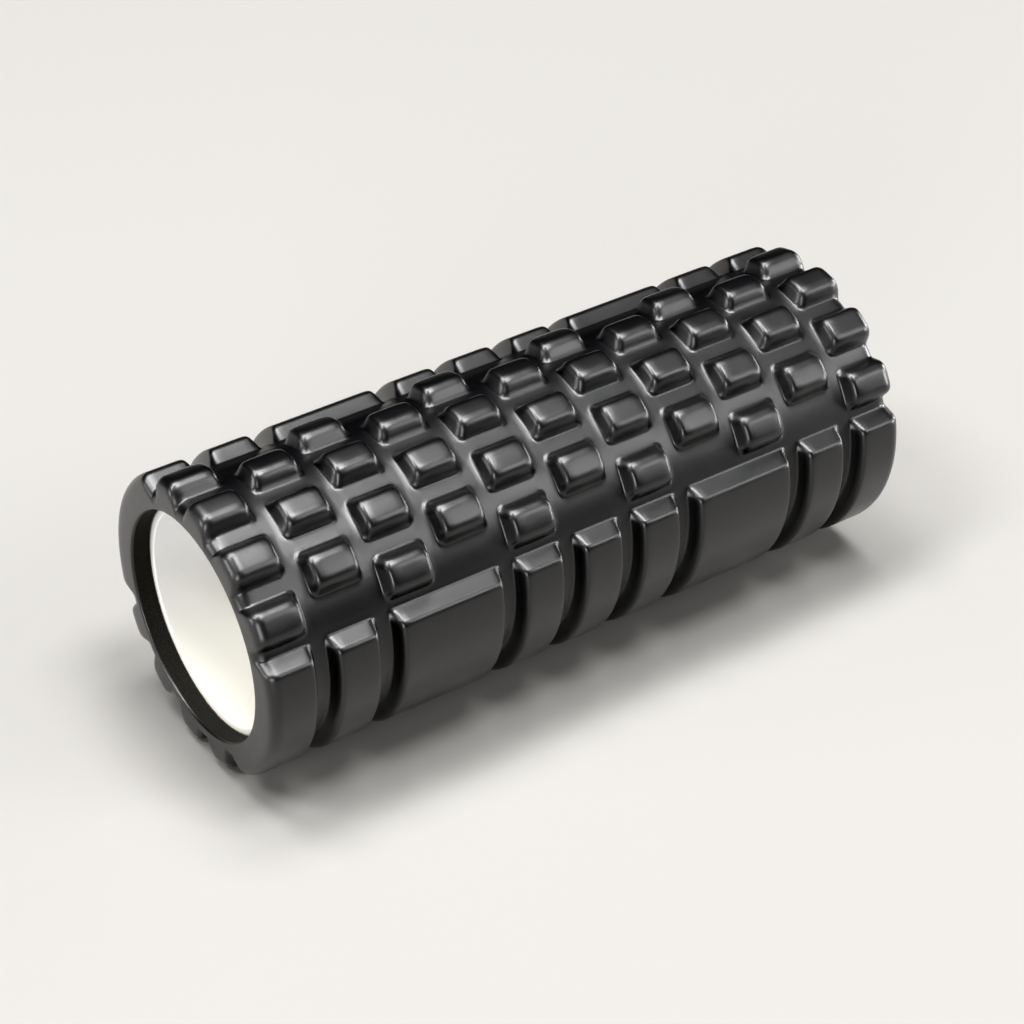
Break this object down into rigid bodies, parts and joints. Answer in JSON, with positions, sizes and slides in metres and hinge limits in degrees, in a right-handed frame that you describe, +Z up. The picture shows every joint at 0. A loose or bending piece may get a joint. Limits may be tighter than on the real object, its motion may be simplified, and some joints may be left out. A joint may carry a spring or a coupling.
{
  "type": "foam roller",
  "caption": "Hollow massage foam roller: a patterned black foam tread of long pads and small blocks round a white plastic core tube.",
  "frame": {"origin": "on the floor under the middle of the roller, which lies on its side", "axes": "+X along the roller, +Z up, -Y the side that the front row of long pads faces"},
  "size_m": [0.33, 0.1348, 0.1348],
  "materials": {
    "white_plastic": "satin",
    "black_foam": "satin",
    "glue": "satin"
  },
  "bodies": {
    "root": {"core_tube": "white_plastic", "foam_tread": "black_foam", "glue_film": "glue", "seam_glue": "glue"}
  },
  "joints": []
}
